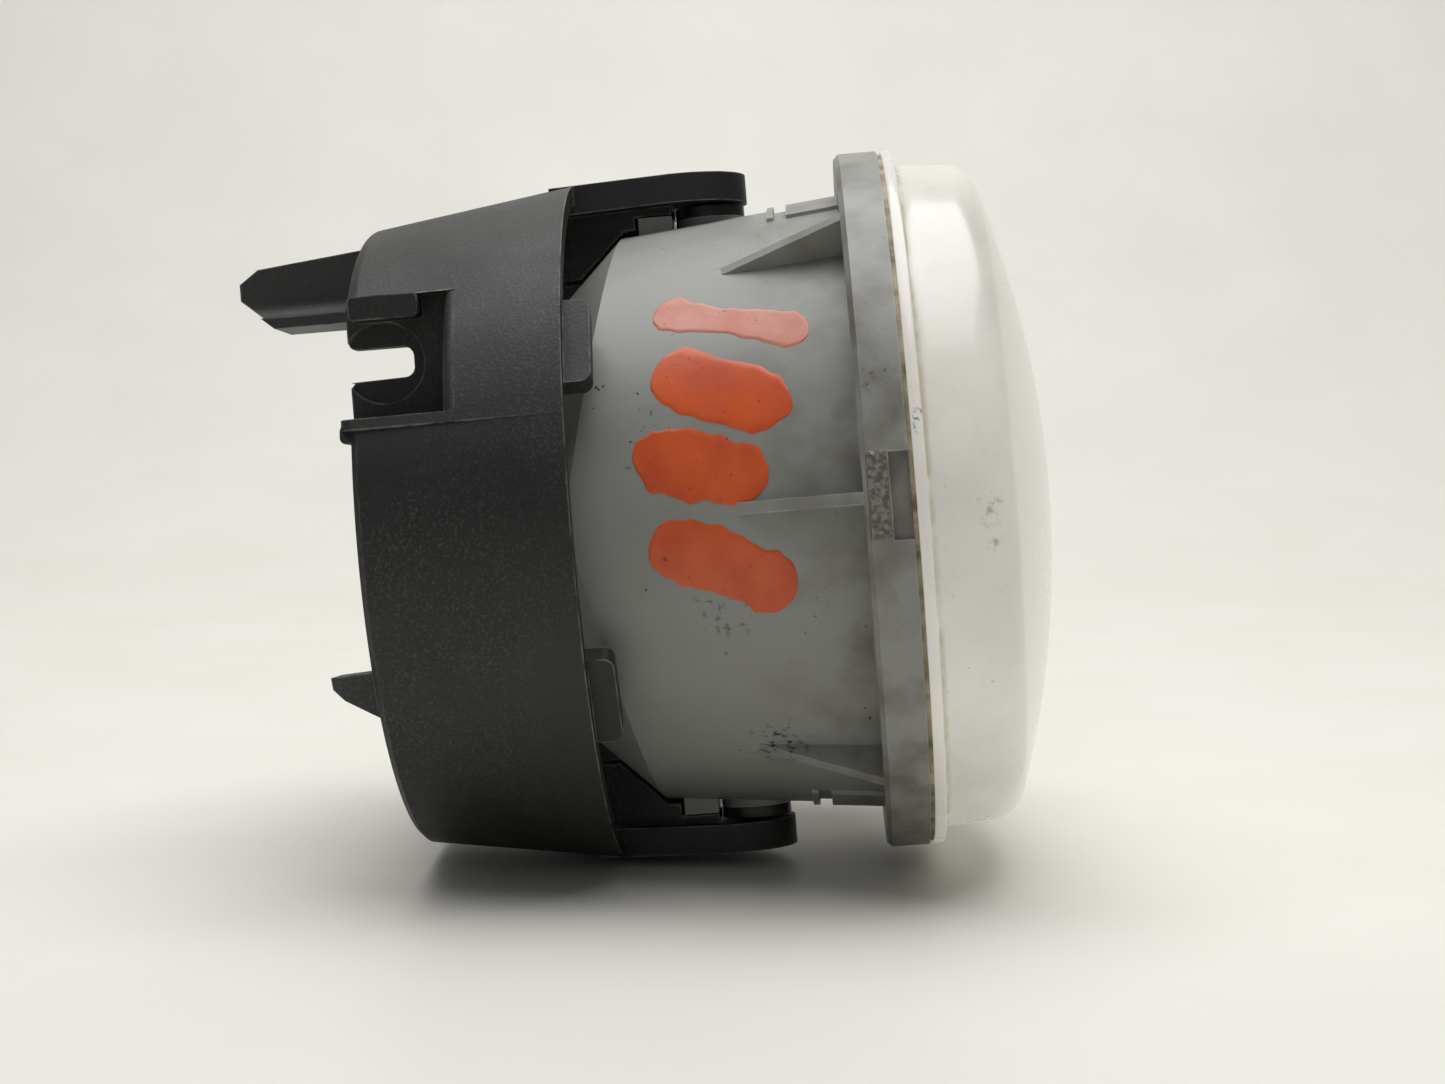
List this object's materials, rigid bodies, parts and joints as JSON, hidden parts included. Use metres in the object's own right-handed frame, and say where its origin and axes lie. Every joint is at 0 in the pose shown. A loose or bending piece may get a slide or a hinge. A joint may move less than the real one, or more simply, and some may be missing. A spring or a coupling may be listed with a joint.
{
  "type": "fog lamp",
  "caption": "Round automotive fog lamp: domed lens and reflector in a ribbed housing that tilts between the arms of a moulded ring bracket, aimed by a captive screw.",
  "frame": {"origin": "centre of the round front rim face of the housing, on the optical axis", "axes": "+X out through the lens along the optical axis; +Z along the upper pivot pin, towards the arm with the locating post; +Y towards the aiming screw"},
  "size_m": [0.1148, 0.1022, 0.1],
  "materials": {
    "bracket_plastic": "black glass-filled nylon, fine moulded texture, dusty",
    "housing_plastic": "mid grey moulded plastic, satin, grimy at the rim",
    "lens_glass": "pressed clear lens, hazed milky with age",
    "adhesive": "cured sealant, brownish",
    "reflector_chrome": "vacuum metallised",
    "shield_steel": "bright pressed sheet",
    "bulb_plastic": "black moulded base",
    "bulb_glass": "clear quartz",
    "seal_rubber": "silicone O-ring",
    "bulb_metal": "plain steel",
    "filament_wire": "tungsten wire",
    "terminal_brass": "tinned brass",
    "vent_rubber": "soft black rubber",
    "membrane_cloth": "white breathable film",
    "pin_nylon": "black nylon",
    "screw_zinc": "zinc plated",
    "nut_nylon": "natural nylon"
  },
  "bodies": {
    "bracket": {"bracket": "bracket_plastic"},
    "lamp": {"housing": "housing_plastic", "reflector": "reflector_chrome", "lens": "lens_glass", "lens_adhesive": "adhesive", "bulb_shield": "shield_steel", "shield_rivet": "shield_steel", "vent_cap": "vent_rubber", "vent_membrane": "membrane_cloth", "pivot_pins": "pin_nylon", "adjuster_nut": "nut_nylon"},
    "bulb": {"bulb_base": "bulb_plastic", "bulb_seal": "seal_rubber", "bulb_collar": "bulb_metal", "bulb_glass": "bulb_glass", "bulb_filament": "filament_wire", "bulb_leads": "bulb_metal", "terminal_blades": "terminal_brass"},
    "adjuster": {"adjuster_screw": "screw_zinc", "adjuster_clip": "screw_zinc"}
  },
  "joints": [
    {"name": "aim_tilt", "type": "hinge", "parent": "bracket", "child": "lamp", "pos_m": [-0.0244, 0, 0], "axis": [0, 0, 1], "range_deg": [-3, 3]},
    {"name": "adjuster_turn", "type": "hinge", "parent": "bracket", "child": "adjuster", "pos_m": [-0.05, 0.047, 0], "axis": [1, 0, 0], "range_deg": [-443, 443]},
    {"name": "bulb_twist", "type": "hinge", "parent": "lamp", "child": "bulb", "pos_m": [-0.0642, 0, 0], "axis": [1, 0, 0], "range_deg": [0, 45]}
  ],
  "couplings": [
    {"joint": "adjuster_turn", "follows": "aim_tilt", "ratio": 147.66}
  ]
}
